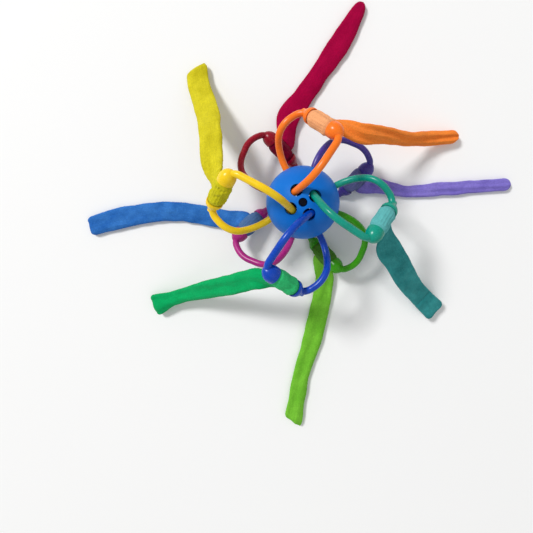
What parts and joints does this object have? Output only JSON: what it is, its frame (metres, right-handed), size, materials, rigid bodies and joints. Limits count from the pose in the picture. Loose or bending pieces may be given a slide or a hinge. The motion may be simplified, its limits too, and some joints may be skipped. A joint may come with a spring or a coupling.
{
  "type": "pet toy ball with loops and streamers",
  "caption": "Hollow toy ball with flexible tube loops threaded through its holes, each loop joined inside a fabric sleeve that carries a plush streamer.",
  "frame": {"origin": "the ball's centre", "axes": "+Z out of the upper pole, along the screw well; +X to the right and +Y up in a view from above"},
  "size_m": [0.3959, 0.3968, 0.0989],
  "materials": {
    "ball_plastic": "satin moulded blue plastic",
    "screw_steel": "plain steel",
    "core_plastic": "natural plastic",
    "loop_orange": "smooth flexible plastic tube",
    "fabric_orange": "short-pile plush fabric",
    "loop_teal": "smooth flexible plastic tube",
    "fabric_teal": "short-pile plush fabric",
    "loop_blue": "smooth flexible plastic tube",
    "fabric_blue": "short-pile plush fabric",
    "loop_yellow": "smooth flexible plastic tube",
    "fabric_yellow": "short-pile plush fabric",
    "loop_violet": "smooth flexible plastic tube",
    "fabric_violet": "short-pile plush fabric",
    "loop_crimson": "smooth flexible plastic tube",
    "fabric_crimson": "short-pile plush fabric",
    "loop_magenta": "smooth flexible plastic tube",
    "fabric_magenta": "short-pile plush fabric",
    "loop_green": "smooth flexible plastic tube",
    "fabric_green": "short-pile plush fabric"
  },
  "bodies": {
    "ball": {"ball_upper_shell": "ball_plastic", "ball_lower_shell": "ball_plastic", "ball_screw": "screw_steel"},
    "orange_loop": {"loop_orange": "loop_orange", "core_orange": "core_plastic"},
    "orange_streamer": {"streamer_orange": "fabric_orange"},
    "teal_loop": {"loop_teal": "loop_teal", "core_teal": "core_plastic"},
    "teal_streamer": {"streamer_teal": "fabric_teal"},
    "blue_loop": {"loop_blue": "loop_blue", "core_blue": "core_plastic"},
    "blue_streamer": {"streamer_blue": "fabric_blue"},
    "yellow_loop": {"loop_yellow": "loop_yellow", "core_yellow": "core_plastic"},
    "yellow_streamer": {"streamer_yellow": "fabric_yellow"},
    "violet_loop": {"loop_violet": "loop_violet", "core_violet": "core_plastic"},
    "violet_streamer": {"streamer_violet": "fabric_violet"},
    "crimson_loop": {"loop_crimson": "loop_crimson", "core_crimson": "core_plastic"},
    "crimson_streamer": {"streamer_crimson": "fabric_crimson"},
    "magenta_loop": {"loop_magenta": "loop_magenta", "core_magenta": "core_plastic"},
    "magenta_streamer": {"streamer_magenta": "fabric_magenta"},
    "green_loop": {"loop_green": "loop_green", "core_green": "core_plastic"},
    "green_streamer": {"streamer_green": "fabric_green"}
  },
  "joints": [
    {"name": "orange_loop_swing", "type": "hinge", "parent": "ball", "child": "orange_loop", "pos_m": [-0.01312, 0.02575, 0], "axis": [0.2588, -0.5079, 0.8216], "range_deg": [0, 30]},
    {"name": "teal_loop_swing", "type": "hinge", "parent": "ball", "child": "teal_loop", "pos_m": [0.02575, 0.01312, 0], "axis": [-0.5079, -0.2588, 0.8216], "range_deg": [0, 30]},
    {"name": "blue_loop_swing", "type": "hinge", "parent": "ball", "child": "blue_loop", "pos_m": [0.01312, -0.02575, 0], "axis": [-0.2588, 0.5079, 0.8216], "range_deg": [0, 30]},
    {"name": "yellow_loop_swing", "type": "hinge", "parent": "ball", "child": "yellow_loop", "pos_m": [-0.02575, -0.01312, 0], "axis": [0.5079, 0.2588, 0.8216], "range_deg": [0, 22]},
    {"name": "violet_loop_swing", "type": "hinge", "parent": "ball", "child": "violet_loop", "pos_m": [0.00893, 0.02749, 0], "axis": [0.1761, 0.5421, 0.8216], "range_deg": [0, 30]},
    {"name": "crimson_loop_swing", "type": "hinge", "parent": "ball", "child": "crimson_loop", "pos_m": [-0.02749, 0.00893, 0], "axis": [-0.5421, 0.1761, 0.8216], "range_deg": [0, 30]},
    {"name": "magenta_loop_swing", "type": "hinge", "parent": "ball", "child": "magenta_loop", "pos_m": [-0.00893, -0.02749, 0], "axis": [-0.1761, -0.5421, 0.8216], "range_deg": [0, 30]},
    {"name": "green_loop_swing", "type": "hinge", "parent": "ball", "child": "green_loop", "pos_m": [0.02749, -0.00893, 0], "axis": [0.5421, -0.1761, 0.8216], "range_deg": [0, 30]},
    {"name": "orange_streamer_turn", "type": "hinge", "parent": "orange_loop", "child": "orange_streamer", "pos_m": [0.01413, 0.05972, 0.0271], "axis": [-0.6448, 0.5277, -0.5529], "range_deg": [-45, 12]},
    {"name": "teal_streamer_turn", "type": "hinge", "parent": "teal_loop", "child": "teal_streamer", "pos_m": [0.05972, -0.01413, 0.0271], "axis": [0.5277, 0.6448, -0.5529], "range_deg": [-45, 12]},
    {"name": "blue_streamer_turn", "type": "hinge", "parent": "blue_loop", "child": "blue_streamer", "pos_m": [-0.01413, -0.05972, 0.0271], "axis": [0.6448, -0.5277, -0.5529], "range_deg": [-45, 12]},
    {"name": "yellow_streamer_turn", "type": "hinge", "parent": "yellow_loop", "child": "yellow_streamer", "pos_m": [-0.06147, 0.00809, 0.03008], "axis": [-0.4731, -0.662, -0.5812], "range_deg": [-45, 12]},
    {"name": "violet_streamer_turn", "type": "hinge", "parent": "violet_loop", "child": "violet_streamer", "pos_m": [0.04747, 0.02022, -0.038], "axis": [0.6543, 0.6298, 0.4186], "range_deg": [-45, 12]},
    {"name": "crimson_streamer_turn", "type": "hinge", "parent": "crimson_loop", "child": "crimson_streamer", "pos_m": [-0.02022, 0.04747, -0.038], "axis": [-0.6298, 0.6543, 0.4186], "range_deg": [-45, 12]},
    {"name": "magenta_streamer_turn", "type": "hinge", "parent": "magenta_loop", "child": "magenta_streamer", "pos_m": [-0.04747, -0.02022, -0.038], "axis": [-0.6543, -0.6298, 0.4186], "range_deg": [-45, 12]},
    {"name": "green_streamer_turn", "type": "hinge", "parent": "green_loop", "child": "green_streamer", "pos_m": [0.02022, -0.04747, -0.038], "axis": [0.6298, -0.6543, 0.4186], "range_deg": [-45, 12]}
  ]
}
